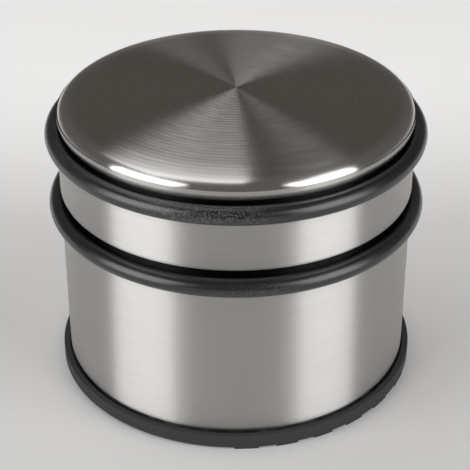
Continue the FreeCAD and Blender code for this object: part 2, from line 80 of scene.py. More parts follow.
# %% Name the smaller sizes
SHEET = 0.7 * MM
GROOVE_DEPTH = 1.6 * MM
GROOVE_PLAY = 1.2 * MM  # the lower groove is this much wider than the cord
RING_SETTLE = 0.3 * MM  # a ring sinks this much past the fold that it lies on
FOLD = 1.2 * MM  # the bends that stand out
ROOT = 0.3 * MM  # the bends at the root of a groove
FOOT_ROUNDING = 1.8 * MM
NECK_ROUNDING = 2.5 * MM
FLANGE_WIDTH = 5.4 * MM
FLANGE_FALL = 1.0 * MM  # the flange rises this much towards its bore
HEM_CLEARANCE = 0.2 * MM
BELLY_SHARE = 72.0 / 76.5  # the lid is widest at this share of the height
NECK = WALL_RADIUS - GROOVE_DEPTH
NECK_BORE = NECK - SHEET
GROOVE_FLOOR = LOWER_MIDDLE - CORD / 2 + RING_SETTLE
GROOVE_ROOF = GROOVE_FLOOR + CORD + GROOVE_PLAY
SHOULDER = UPPER_MIDDLE - CORD / 2 + RING_SETTLE
print(f"lower groove from {GROOVE_FLOOR / MM:.2f} to {GROOVE_ROOF / MM:.2f} mm")

# %% [markdown]
# ## Camera
#
# The camera stands in front of the drum and looks down on it by about 31 degrees, from far
# enough away that a long lens fills the view. The small shift places the drum in the view
# without turning the camera.

# %% Place the camera
ELEVATION = 0.5403  # in radians
DISTANCE = 8.3026 * WALL_RADIUS
AIM_HEIGHT = 0.8 * WALL_RADIUS
LENS_MM = 108.77
SENSOR_MM = 36.0
SHIFT_X = -0.0022
SHIFT_Y = -0.0168


def add_camera():
    """A camera straight in front of the drum, looking down on it."""
    data = bpy.data.cameras.new("camera")
    data.lens = LENS_MM
    data.sensor_width = SENSOR_MM
    data.shift_x = SHIFT_X
    data.shift_y = SHIFT_Y
    camera = bpy.data.objects.new("camera", data)
    bpy.context.scene.collection.objects.link(camera)
    back = Vector((0, -math.cos(ELEVATION), math.sin(ELEVATION)))
    camera.location = Vector((0, 0, AIM_HEIGHT)) + back * DISTANCE
    camera.rotation_euler = (math.pi / 2 - ELEVATION, 0, 0)
    bpy.context.scene.camera = camera
    return camera


print("camera at", [round(v, 4) for v in add_camera().location])

# %% [markdown]
# ## Graphs written as maths
#
# A material or a shape tree is a graph of nodes. Placing each node by hand in code is long
# and hard to read, so two small classes help. A Wire is the output of a node, and sums on
# wires add the Math nodes. A Graph makes every other node in one call: its type, its
# settings, and what goes into its sockets. A call gives back the wire of the node's first
# output, or of the one that is asked for.

# %% Wires and graphs
class Wire:
    """An output socket that can be used in sums."""

    def __init__(self, graph, socket):
        self.graph = graph
        self.socket = socket

    def maths(self, operation, first, second):
        return self.graph.node("ShaderNodeMath", {"operation": operation}, {0: first, 1: second})

    def __add__(self, other):
        return self.maths("ADD", self, other)

    def __radd__(self, other):
        return self.maths("ADD", other, self)

    def __sub__(self, other):
        return self.maths("SUBTRACT", self, other)

    def __rsub__(self, other):
        return self.maths("SUBTRACT", other, self)

    def __mul__(self, other):
        return self.maths("MULTIPLY", self, other)

    def __rmul__(self, other):
        return self.maths("MULTIPLY", other, self)

    def __truediv__(self, other):
        return self.maths("DIVIDE", self, other)

    def __rtruediv__(self, other):
        return self.maths("DIVIDE", other, self)

    def __pow__(self, other):
        return self.maths("POWER", self, other)

    def other(self, name):
        """Another output of the same node."""
        return Wire(self.graph, self.socket.node.outputs[name])


class Graph:
    """A node tree that is filled one call at a time."""

    def __init__(self, tree):
        self.tree = tree

    def node(self, kind, settings=None, sockets=None, out=0):
        """Adds a node, sets it up, fills its sockets, and returns one output's wire."""
        made = self.tree.nodes.new(kind)
        for name, value in (settings or {}).items():
            if name == "stops":
                self.set_stops(made.color_ramp, value)
            else:
                setattr(made, name, value)
        for key, value in (sockets or {}).items():
            if isinstance(value, Wire):
                self.tree.links.new(value.socket, made.inputs[key])
            else:
                made.inputs[key].default_value = value
        return Wire(self, made.outputs[out]) if made.outputs else None

    def set_stops(self, ramp, stops):
        """Grey stops of a ramp, as (place, value)."""
        while len(ramp.elements) < len(stops):
            ramp.elements.new(0.5)
        for element, (place, value) in zip(ramp.elements, stops):
            element.position = place
            element.color = (value, value, value, 1)


print("a Wire adds Math nodes, a Graph adds the rest")

# %% [markdown]
# ## Outlines
#
# Sheet metal has an outline of straight runs joined by bends. An outline is written here as
# its corners, each with the radius of its bend, and the bends become arcs. A point is added
# a little way inside both ends of each straight run. It keeps the shading of the run flat,
# because a smooth surface would otherwise carry the slant of a bend across the whole wall.

# %% Rounded outlines
ARC_STEP = math.radians(9)
LONG_STEP = 2.5 * MM  # a very large bend gets steps of this length
HOLD = 0.15 * MM


def bend(corner, arrive, leave, rounding):
    """Points along the arc that rounds one corner."""
    turn = math.atan2(arrive.cross(leave), arrive.dot(leave))
    trim = rounding * math.tan(abs(turn) / 2)
    start = corner - arrive * trim
    side = Vector((-arrive.y, arrive.x)) * math.copysign(1, turn)
    centre = start + side * rounding
    steps = max(2, round(abs(turn) / ARC_STEP), round(abs(turn) * rounding / LONG_STEP))
    spoke = start - centre
    points = []
    for step in range(steps + 1):
        angle = turn * step / steps
        cosine, sine = math.cos(angle), math.sin(angle)
        swung = Vector((spoke.x * cosine - spoke.y * sine, spoke.x * sine + spoke.y * cosine))
        points.append(centre + swung)
    return points


def outline(corners, closed):
    """Points of an outline from (radius, height, rounding) corners."""
    spots = [Vector(corner[:2]) for corner in corners]
    count = len(spots)
    groups = []
    for i, corner in enumerate(corners):
        is_end = not closed and i in (0, count - 1)
        if is_end or corner[2] == 0:
            groups.append([spots[i]])
            continue
        arrive = (spots[i] - spots[i - 1]).normalized()
        leave = (spots[(i + 1) % count] - spots[i]).normalized()
        groups.append(bend(spots[i], arrive, leave, corner[2]))
    points = []
    for i, group in enumerate(groups):
        points += group
        if i == count - 1 and not closed:
            break
        start, end = group[-1], groups[(i + 1) % count][0]
        run = end - start
        if run.length > 4 * HOLD:
            points += [start + run.normalized() * HOLD, end - run.normalized() * HOLD]
    return points


quarter = bend(Vector((1, 0)), Vector((1, 0)), Vector((0, 1)), 0.1)
print("one bend of 90 degrees has", len(quarter), "points")

# %% [markdown]
# ## Turning an outline about the axis
#
# The lid, the drum and the sole are all round, and the real ones are spun, rolled or moulded
# round. So each is an outline carried round a circle, the spine, which is one rule for a
# Geometry Nodes tree. The tree merges the points that meet on the axis, shades bends smooth
# and corners sharp, and sets the finish.

# %% The turning tree
AROUND = 256
SPINE = 10 * MM
SHARP = math.radians(40)
WELD = 1e-6


def new_tree(name, inputs):
    """A geometry tree with named inputs, and its graph and first wires."""
    tree = bpy.data.node_groups.new(name, "GeometryNodeTree")
    tree.interface.new_socket("Geometry", in_out="OUTPUT", socket_type="NodeSocketGeometry")
    tree.interface.new_socket("Geometry", in_out="INPUT", socket_type="NodeSocketGeometry")
    for label, kind in inputs:
        tree.interface.new_socket(label, in_out="INPUT", socket_type=kind)
    graph = Graph(tree)
    start = graph.node("NodeGroupInput")
    return tree, graph, start


def shaded(graph, geometry):
    """Smooth faces, with sharp edges where two faces meet at a real corner."""
    smooth = graph.node("GeometryNodeSetShadeSmooth", {"domain": "FACE"},
                        {"Geometry": geometry, "Shade Smooth": True})
    angle = graph.node("GeometryNodeInputMeshEdgeAngle")
    corner = graph.node("FunctionNodeCompare", {"data_type": "FLOAT", "operation": "GREATER_THAN"},
                        {0: angle, 1: SHARP})
    return graph.node("GeometryNodeSetShadeSmooth", {"domain": "EDGE"},
                      {"Geometry": smooth, "Selection": corner, "Shade Smooth": False})


def finish_tree(graph, geometry, start):
    """Realised, shaded and given its material."""
    real = graph.node("GeometryNodeRealizeInstances", None, {"Geometry": geometry})
    coloured = graph.node("GeometryNodeSetMaterial", None,
                          {"Geometry": shaded(graph, real), "Material": start.other("Finish")})
    graph.node("NodeGroupOutput", None, {"Geometry": coloured})


def turning_tree():
    """Carries an outline round a spine."""
    tree, graph, start = new_tree("turned about the axis", [
        ("Spine radius", "NodeSocketFloat"),
        ("Steps around", "NodeSocketInt"),
        ("Finish", "NodeSocketMaterial"),
    ])
    spine = graph.node("GeometryNodeCurvePrimitiveCircle", {"mode": "RADIUS"},
                       {"Radius": start.other("Spine radius"),
                        "Resolution": start.other("Steps around")})
    skin = graph.node("GeometryNodeCurveToMesh", None, {"Curve": spine, "Profile Curve": start})
    closed = graph.node("GeometryNodeMergeByDistance", None, {"Geometry": skin, "Distance": WELD})
    finish_tree(graph, closed, start)
    return tree


TURNING = turning_tree()
print("turning tree has", len(TURNING.nodes), "nodes")

# %% [markdown]
# ## From a tree to a plain mesh
#
# A tree runs as a modifier on a scratch object, and its result is copied to a plain mesh, so
# nothing live is left on the piece. The outline's curve is drawn beside the spine. Its points
# are measured from the axis, so the spine's own radius is taken off.

# %% Make a plain mesh from a tree
def set_input(modifier, label, value):
    """Sets a modifier's input by the identifier of its socket."""
    for item in modifier.node_group.interface.items_tree:
        if item.item_type == "SOCKET" and item.in_out == "INPUT" and item.name == label:
            modifier[item.identifier] = value


def made_by(tree, name, data, **inputs):
    """Runs a tree on some data and keeps the result as a plain mesh object."""
    scratch = bpy.data.objects.new(name + "_scratch", data)
    bpy.context.scene.collection.objects.link(scratch)
    modifier = scratch.modifiers.new("tree", "NODES")
    modifier.node_group = tree
    for label, value in inputs.items():
        set_input(modifier, label.replace("_", " "), value)
    depsgraph = bpy.context.evaluated_depsgraph_get()
    mesh = bpy.data.meshes.new_from_object(scratch.evaluated_get(depsgraph), depsgraph=depsgraph)
    bpy.data.objects.remove(scratch)
    mesh.name = name
    piece = bpy.data.objects.new(name, mesh)
    bpy.context.scene.collection.objects.link(piece)
    print(f"{name}: {len(mesh.vertices)} points, {len(mesh.polygons)} faces")
    return piece


def outline_curve(name, points, closed):
    """An outline as a curve, beside the spine that carries it round."""
    curve = bpy.data.curves.new(name, "CURVE")
    curve.dimensions = "3D"
    spline = curve.splines.new("POLY")
    spline.points.add(len(points) - 1)
    for spot, point in zip(spline.points, points):
        spot.co = (point.x - SPINE, -point.y, 0, 1)
    spline.use_cyclic_u = closed
    return curve


def turned_points(name, points, finish, closed):
    """A round piece from the points of its outline."""
    curve = outline_curve(name, points, closed)
    return made_by(TURNING, name, curve, Spine_radius=SPINE, Steps_around=AROUND, Finish=finish)


def turned(name, corners, finish, closed=True):
    """A round piece from the corners of its outline."""
    return turned_points(name, outline(corners, closed), finish, closed)


print("a round piece has", AROUND, "steps around")

# %% [markdown]
# ## Finishes
#
# A finish is one Principled shader whose sockets are fed by patterns. Every pattern here is
# read from Object coordinates, so it stays with the piece as if it were carved from one
# block. The helpers below make the patterns that come back in most finishes: noise, cells, a
# soft step, a blend of two colours, and a fine relief that the mesh doesn't have.

# %% Helpers for finishes
HAIR = 1e-10  # keeps the axis itself from dividing by zero


def new_finish(name):
    """An empty material and its graph."""
    material = bpy.data.materials.new(name)
    material.use_nodes = True
    material.node_tree.nodes.clear()
    return material, Graph(material.node_tree)


def close_finish(graph, **sockets):
    """Adds the Principled shader with these sockets, and the output."""
    names = {name.replace("_", " "): value for name, value in sockets.items()}
    shader = graph.node("ShaderNodeBsdfPrincipled", None, names)
    graph.node("ShaderNodeOutputMaterial", None, {"Surface": shader})


def object_spot(graph):
    """Object coordinates, as one wire."""
    return graph.node("ShaderNodeTexCoord", out="Object")


def place(graph):
    """Object coordinates as x, y, z, with the distance from the axis."""
    x = graph.node("ShaderNodeSeparateXYZ", None, {0: object_spot(graph)})
    y, z = x.other("Y"), x.other("Z")
    radius = (x * x + y * y + HAIR) ** 0.5
    return x, y, z, radius


def noise(graph, spot, scale, detail, rough):
    """A soft random pattern, finer as the scale grows."""
    return graph.node("ShaderNodeTexNoise", None,
                      {"Vector": spot, "Scale": scale, "Detail": detail, "Roughness": rough})


def cells(graph, spot, scale, out="Distance"):
    """Random cells: how far the nearest middle is, or a colour for each cell."""
    return graph.node("ShaderNodeTexVoronoi", {"feature": "F1"},
                      {"Vector": spot, "Scale": scale, "Randomness": 1.0}, out=out)


def relief(graph, height, strength, depth):
    """A bump of this depth for the shader."""
    return graph.node("ShaderNodeBump", None,
                      {"Strength": strength, "Distance": depth, "Height": height})


def blend_colour(graph, factor, first, second):
    """Between two colours, each a triple or a wire."""
    ends = [end if isinstance(end, Wire) else (*end, 1) for end in (first, second)]
    return graph.node("ShaderNodeMix", {"data_type": "RGBA"},
                      {0: factor, 6: ends[0], 7: ends[1]}, out=2)


def rise(graph, value, low, high):
    """A soft step from 0 at the low value to 1 at the high one."""
    return graph.node("ShaderNodeMapRange", {"interpolation_type": "SMOOTHSTEP"},
                      {0: value, 1: low, 2: high, 3: 0.0, 4: 1.0})


print("finishes are made with noise, cells, steps, blends and relief")

# %% [markdown]
# ## Brushed steel
#
# Both steel pieces were brushed while they turned, so every scratch runs round the axis. A
# bundle of fine parallel grooves spreads a reflection across the scratches and hardly along
# them. That is why a round lid shows bright fans, and a round wall shows upright bands with
# clear edges. The shader does this with anisotropy, along a tangent that runs round the axis
# and is turned by a quarter.
#
# Modelling each scratch would need millions of faces, and a bump alone would be finer than
# the eye can see, so anisotropy carries the spread. A faint bump and a change in roughness
# and colour carry the scratches that are wide enough to see, and the wave of the tool that
# turned the lid. Round the folds of the wall and down in the grooves the steel is rougher,
# and its colour there is painted near black as shade. The lid's rim is rubbed smoother by
# hands, and its colour there is made lighter as a painted highlight.

# %% Scratches
FINE_SCRATCHES = {"turns": 6.0, "per_metre": 3400.0, "detail": 2.0}
WIDE_SCRATCHES = {"turns": 3.0, "per_metre": 900.0, "detail": 2.0}
WANDER = {"turns": 2.0, "per_metre": 150.0, "detail": 1.0}


def streaks(graph, around_x, around_y, across, turns, per_metre, detail):
    """Noise drawn out round the axis: long one way and fine across."""
    spot = graph.node("ShaderNodeCombineXYZ", None,
                      {0: around_x * turns, 1: around_y * turns, 2: across * per_metre})
    return noise(graph, spot, scale=1.0, detail=detail, rough=0.6)


print("fine scratches per metre:", FINE_SCRATCHES["per_metre"])

# %% Brushing
RIDGE_PITCH = 1.25 * MM
RIDGE_DEPTH = 0.003 * MM
RIDGE_WANDER = 5.0
RIDGE_RELIEF = 1.8
FINE_RELIEF = 0.8
WIDE_RELIEF = 1.6
CALM_FROM = 30 * MM  # past this radius the ridges are weaker by the next share
CALM_SHARE = 0.55
RUB_FLATTENS = 0.7
RUB_SMOOTHS = 0.05
SCRATCH_ROUGHENS = 0.10
DULLNESS_ROUGHENS = 0.25
# Painted shade: the near-black colour given to the wall's folds and grooves.
PAINTED_SHADE_STEEL = (0.02, 0.02, 0.02)
# Painted highlight: the lighter colour of the lid's rubbed rim, which brightens its reflection.
POLISHED_AND_SHEEN_STEEL = (0.77, 0.765, 0.75)


def brushed(name, across_is_radius, dark, light, roughness, ridges, painted_shade_until, polished_and_sheen):
    """Steel brushed round the axis; its streaks lie side by side along radius or height.
    Inside the first radius the colour is painted near black as shade and the steel is rougher;
    outside the second it is plain brushed steel.
    The rubbing, which smooths the steel and lightens its colour as a painted highlight, sets in over
    the first two of four more radii and ends over the last two."""
    material, graph = new_finish(name)
    x, y, z, radius = place(graph)
    around_x, around_y = x / radius, y / radius
    across = radius if across_is_radius else z
    fine = streaks(graph, around_x, around_y, across, **FINE_SCRATCHES)
    wide = streaks(graph, around_x, around_y, across, **WIDE_SCRATCHES)
    wander = streaks(graph, around_x, around_y, across, **WANDER)
    wave = graph.node("ShaderNodeMath", {"operation": "SINE"},
                      {0: across * (2 * math.pi / RIDGE_PITCH) + wander * RIDGE_WANDER})
    tone = fine * 0.5 + wide * 0.5
    # Where this share is low, round the folds and in the grooves, the colour is painted dark as
    # shade.
    unshaded_share = rise(graph, radius, *painted_shade_until)
    # The rubbed band smooths and flattens the steel, and its lighter colour is a painted highlight.
    rubbed = rise(graph, radius, *polished_and_sheen[:2]) * (1 - rise(graph, radius, *polished_and_sheen[2:]))
    near_axis = 1 - rise(graph, radius, 0.0, CALM_FROM) * CALM_SHARE
    ridge_height = wave * ridges * near_axis * RIDGE_RELIEF
    scratches = ridge_height + (fine - 0.5) * FINE_RELIEF + (wide - 0.5) * WIDE_RELIEF
    bump = relief(graph, scratches * (1 - rubbed * RUB_FLATTENS), 1.0, RIDGE_DEPTH)
    tangent = graph.node("ShaderNodeTangent", {"direction_type": "RADIAL", "axis": "Z"})
    brushed_colour = blend_colour(graph, tone, dark, light)
    rubbed_and_sheen_colour = blend_colour(graph, rubbed, brushed_colour, POLISHED_AND_SHEEN_STEEL)
    rough = roughness + (tone - 0.5) * SCRATCH_ROUGHENS + (1 - unshaded_share) * DULLNESS_ROUGHENS
    close_finish(graph, Base_Color=blend_colour(graph, unshaded_share, PAINTED_SHADE_STEEL, rubbed_and_sheen_colour),
                 Metallic=1.0, Roughness=rough - rubbed * RUB_SMOOTHS,
                 Anisotropic=1.0, Anisotropic_Rotation=0.25, Tangent=tangent, Normal=bump)
    return material


print(f"ridges lie {RIDGE_PITCH / MM:.2f} mm apart")

# %% [markdown]
# ## Two steels
#
# The lid was turned with a coarse brush and is the glossier of the two. Its streaks lie side
# by side along the radius, and its ridges are strong. The wall was rolled from paler sheet
# with a finer brush, and its streaks lie one above another. One function makes both from
# two sets of numbers, so the two steels stay alike.

# %% The two steels
NO_PAINTED_SHADE = (-2 * MM, -1 * MM)
NOWHERE = (1.0, 2.0, 3.0, 4.0)
OUT_OF_GROOVES = (WALL_RADIUS - 0.9 * MM, WALL_RADIUS - 0.08 * MM)
LID_RIM = (LID_RADIUS - 4.5 * MM, LID_RADIUS - 1.5 * MM, LID_RADIUS - 0.5 * MM, LID_RADIUS)
LID_STEEL = brushed("turned_lid_steel", across_is_radius=True,
                    dark=(0.44, 0.425, 0.40), light=(0.68, 0.67, 0.645),
                    roughness=0.25, ridges=2.4, painted_shade_until=NO_PAINTED_SHADE, polished_and_sheen=LID_RIM)
WALL_STEEL = brushed("rolled_wall_steel", across_is_radius=False,
                     dark=(0.59, 0.58, 0.565), light=(0.70, 0.69, 0.675),
                     roughness=0.38, ridges=0.3, painted_shade_until=OUT_OF_GROOVES, polished_and_sheen=NOWHERE)
print("steel:", LID_STEEL.name, WALL_STEEL.name)

# %% [markdown]
# ## The lid
#
# The real lid is a shallow pan pressed from sheet. Its middle is crowned by two millimetres,
# its top eases into a rounding, and below its widest line it draws in to a hem just above
# the upper ring. The crown is one very large bend of the outline, and an ellipse draws the
# lower half of the edge. The lid is one thin closed shell, outside and inside, so the dark
# gap above the ring is a real one.

# %% The lid's outline
CROWN_SPAN = 36.5 * MM
CROWN_BEND = 420.0 * MM
EASE_RADIUS = 38.6 * MM
EASE_ANGLE = math.radians(9)
EASE_ROUNDING = 22.0 * MM
EDGE_ROUNDING = 2.9 * MM
EDGE_STEPS = 8


def lid_skin(inset):
    """The lid's skin from the axis to the hem, moved inwards by the inset."""
    top = lid_high.z - inset
    side = LID_RADIUS - inset
    slant = math.asin(CROWN_SPAN / CROWN_BEND)
    middle = CROWN_BEND * math.tan(slant / 2)
    ease_height = top - (EASE_RADIUS - middle) * math.tan(slant)
    edge_height = ease_height - (side - EASE_RADIUS) * math.tan(slant + EASE_ANGLE)
    belly = lid_high.z * BELLY_SHARE
    points = outline([
        (0, top, 0),
        (middle, top, CROWN_BEND),
        (EASE_RADIUS, ease_height, EASE_ROUNDING),
        (side, edge_height, EDGE_ROUNDING - inset),
        (side, belly, 0),
    ], closed=False)
    reach = LID_RADIUS - (NECK + HEM_CLEARANCE) - inset
    drop = belly - lid_low.z - inset
    for step in range(1, EDGE_STEPS + 1):
        angle = math.pi / 2 * step / EDGE_STEPS
        points.append(Vector((side - reach * (1 - math.cos(angle)), belly - drop * math.sin(angle))))
    return points


def lid_outline():
    """Outside from the axis to the hem, then back inside, ordered so that faces look out."""
    outside, inside = lid_skin(0), lid_skin(SHEET)
    return inside + outside[::-1]


# %% Turn the lid
lid_piece = turned_points("turned_lid", lid_outline(), LID_STEEL, closed=False)

# %% [markdown]
# ## The drum
#
# One sheet makes the whole wall: a rounded foot, the lower wall, a rolled groove for the
# lower ring, the band, a neck that carries the upper ring, and a flange under the lid. The
# outline goes up the outside and comes down the inside, one sheet's thickness away.

# %% Turn the drum
foot = wall_low.z
underside = wall_high.z
inner_wall = WALL_RADIUS - SHEET
inner_fold = FOLD - SHEET
inner_root = ROOT + SHEET
flange_bore = NECK - FLANGE_WIDTH
drum_piece = turned("rolled_drum", [
    # Up the outside, from the turned-in foot to the flange's bore.
    (NECK_BORE, foot, 0),
    (WALL_RADIUS, foot, FOOT_ROUNDING),
    (WALL_RADIUS, GROOVE_FLOOR, FOLD),
    (NECK, GROOVE_FLOOR, ROOT),
    (NECK, GROOVE_ROOF, ROOT),
    (WALL_RADIUS, GROOVE_ROOF, FOLD),
    (WALL_RADIUS, SHOULDER, FOLD),
    (NECK, SHOULDER, ROOT),
    (NECK, underside - FLANGE_FALL, NECK_ROUNDING),
    (flange_bore, underside, 0),
    # Down the inside, one sheet away.
    (flange_bore, underside - SHEET, 0),
    (NECK_BORE, underside - FLANGE_FALL - SHEET, NECK_ROUNDING - SHEET),
    (NECK_BORE, SHOULDER - SHEET, inner_root),
    (inner_wall, SHOULDER - SHEET, inner_fold),
    (inner_wall, GROOVE_ROOF + SHEET, inner_fold),
    (NECK_BORE, GROOVE_ROOF + SHEET, inner_root),
    (NECK_BORE, GROOVE_FLOOR - SHEET, inner_root),
    (inner_wall, GROOVE_FLOOR - SHEET, inner_fold),
    (inner_wall, foot + SHEET, FOOT_ROUNDING - SHEET),
    (NECK_BORE, foot + SHEET, 0),
], WALL_STEEL)

# %% [markdown]
# ## Black rubber
#
# The rings are satin rubber. Handling leaves them dusty in patches, where a fine grey grain
# shows, and most of all where the door rubs on the front of the upper ring. The inner half of
# both rings' tops is painted a smooth lighter grey in front, as a painted highlight. The finish
# is a dark base, a grain bump, and a dust colour that comes through where a fine noise is high.
# A slow noise thins it out elsewhere. The dusty places and the painted highlight are found by
# their direction and distance from the axis, and their height.

# %% Where the dust and the painted highlight lie
RUB_AZIMUTH = math.radians(-9)
RUB_EDGE = math.cos(math.radians(22))
RUB_MIDDLE = math.cos(math.radians(10))
FRONT_EDGE = math.cos(math.radians(62))
FRONT_MIDDLE = math.cos(math.radians(35))
INNER_TOP_BLUR = CORD * 0.16
PATCH_STOPS = [(0.48, 0.0), (0.66, 1.0)]
SPECK_STOPS = [(0.50, 0.0), (0.62, 1.0)]
print("the rubbed patch is", round(2 * math.degrees(math.acos(RUB_EDGE))), "degrees wide")

# %% Ring rubber
THIN_DUST = 0.05
PATCH_DUST = 0.35
RUBBED_DUST = 0.6
# Painted highlight: how strongly the front of the rings' inner tops is made lighter.
FRONT_TOP_HIGHLIGHT = 0.3
RING_BLACK = (0.007, 0.007, 0.008)
DUST_AND_HIGHLIGHT_GREY = (0.15, 0.148, 0.146)


def ring_rubber():
    """Satin rubber with dust in patches, and a painted highlight on the front of the rings' tops."""
    material, graph = new_finish("dusty_ring_rubber_with_painted_highlight")
    spot = object_spot(graph)
    x, y, z, radius = place(graph)
    facing = (x * math.sin(RUB_AZIMUTH) - y * math.cos(RUB_AZIMUTH)) / radius
    rubbed = rise(graph, facing, RUB_EDGE, RUB_MIDDLE) * rise(graph, z, lower_high.z, upper_low.z)
    inner_top = 1 - rise(graph, radius, RING_RADIUS, RING_RADIUS + INNER_TOP_BLUR)
    # Painted highlight: the inner half of both rings' tops is made lighter in front.
    front_top_highlight = inner_top * rise(graph, (0 - y) / radius, FRONT_EDGE, FRONT_MIDDLE)
    grain = noise(graph, spot, scale=2600.0, detail=3.0, rough=0.6)
    patches = noise(graph, spot, scale=38.0, detail=3.0, rough=0.55)
    where = graph.node("ShaderNodeValToRGB", {"stops": PATCH_STOPS}, {0: patches})
    specks = graph.node("ShaderNodeValToRGB", {"stops": SPECK_STOPS}, {0: grain})
    amount = where * PATCH_DUST + rubbed * RUBBED_DUST + THIN_DUST
    dust_and_highlight = amount * specks + front_top_highlight * FRONT_TOP_HIGHLIGHT
    close_finish(graph, Base_Color=blend_colour(graph, dust_and_highlight, RING_BLACK, DUST_AND_HIGHLIGHT_GREY),
                 Specular_IOR_Level=0.85, Roughness=0.28 + dust_and_highlight * 0.3,
                 Normal=relief(graph, grain, 0.25, 0.05 * MM))
    return material


RING_RUBBER = ring_rubber()
print("ring rubber:", RING_RUBBER.name)

# %% [markdown]
# ## The bumper rings
#
# Each ring is a round cord bent into a circle, so it is the plainest case of a section that
# follows a path. Moulding leaves a fine raised line where the two halves of the mould met,
# round the outside and the inside, and the tree presses it out of the cord's section.

# %% The ring tree
RING_STEPS = 288
CORD_STEPS = 72
SEAM_HEIGHT = 0.03 * MM
SEAM_SHARE = 0.07  # half the seam's width, as a share of the cord's radius


def ring_tree():
    """Carries a round cord with two mould seams round a circle."""
    tree, graph, start = new_tree("bumper ring", [
        ("Ring radius", "NodeSocketFloat"),
        ("Cord radius", "NodeSocketFloat"),
        ("Height", "NodeSocketFloat"),
        ("Seam height", "NodeSocketFloat"),
        ("Finish", "NodeSocketMaterial"),
    ])
    path = graph.node("GeometryNodeCurvePrimitiveCircle", {"mode": "RADIUS"},
                      {"Radius": start.other("Ring radius"), "Resolution": RING_STEPS})
    section = graph.node("GeometryNodeCurvePrimitiveCircle", {"mode": "RADIUS"},
                         {"Radius": start.other("Cord radius"), "Resolution": CORD_STEPS})
    spot = graph.node("ShaderNodeSeparateXYZ", None, {0: graph.node("GeometryNodeInputPosition")})
    off_seam = graph.node("ShaderNodeMath", {"operation": "ABSOLUTE"}, {0: spot.other("Y")})
    nearness = 1 - off_seam / (start.other("Cord radius") * SEAM_SHARE)
    seam = graph.node("ShaderNodeMath", {"operation": "MAXIMUM"}, {0: nearness, 1: 0.0})
    side = graph.node("ShaderNodeMath", {"operation": "SIGN"}, {0: spot})
    press = graph.node("ShaderNodeCombineXYZ", None,
                       {0: seam * side * start.other("Seam height")})
    moulded = graph.node("GeometryNodeSetPosition", None, {"Geometry": section, "Offset": press})
    skin = graph.node("GeometryNodeCurveToMesh", None, {"Curve": path, "Profile Curve": moulded})
    lift = graph.node("ShaderNodeCombineXYZ", None, {2: start.other("Height")})
    placed = graph.node("GeometryNodeTransform", None, {"Geometry": skin, "Translation": lift})
    finish_tree(graph, placed, start)
    return tree


RING = ring_tree()
print("ring tree has", len(RING.nodes), "nodes")

# %% Make the two rings
def bumper(name, height):
    """A rubber ring with its cord's middle at this height."""
    empty = bpy.data.meshes.new(name + "_start")
    return made_by(RING, name, empty, Ring_radius=RING_RADIUS, Cord_radius=CORD / 2,
                   Height=height, Seam_height=SEAM_HEIGHT, Finish=RING_RUBBER)


upper_bumper = bumper("upper_bumper", UPPER_MIDDLE)
lower_bumper = bumper("lower_bumper", LOWER_MIDDLE)

# %% [markdown]
# ## The sole
#
# The sole is a shallow rubber tray with a tread of parallel bars. The tray is turned like
# the steel pieces. The bars repeat, so a tree lays them out: a row of blocks, each as long
# as the sole is wide at that place. On one side they stop a little short of the edge.

# %% Sole rubber
SOLE_BLACK = (0.018, 0.018, 0.018)
SOLE_GREY = (0.052, 0.052, 0.051)


def sole_rubber():
    """Matt moulded rubber with a grain."""
    material, graph = new_finish("matt_sole_rubber")
    spot = object_spot(graph)
    grain = noise(graph, spot, scale=1800.0, detail=4.0, rough=0.65)
    cloud = noise(graph, spot, scale=60.0, detail=2.0, rough=0.5)
    tone = grain * 0.6 + cloud * 0.4
    close_finish(graph, Base_Color=blend_colour(graph, tone, SOLE_BLACK, SOLE_GREY),
                 Roughness=0.78 + (tone - 0.5) * 0.2,
                 Normal=relief(graph, grain, 0.35, 0.08 * MM))
    return material


SOLE_RUBBER = sole_rubber()
print("sole rubber:", SOLE_RUBBER.name)

# %% [markdown]
# ## The tread's bars
#
# Each bar is one block, stretched to its width and shaped at its ends to follow the sole's
# edge. A row of points holds the blocks. The outer two bars reach to the edge, so they are
# wider than the rest. The bars stand a little way up into the tray, so no slit is left.

# %% The tread tree
BAR_INSET = 0.03 * MM
BAR_END = 0.02 * MM
BAR_OVERLAP = 0.1 * MM
BAR_CUTS = 24


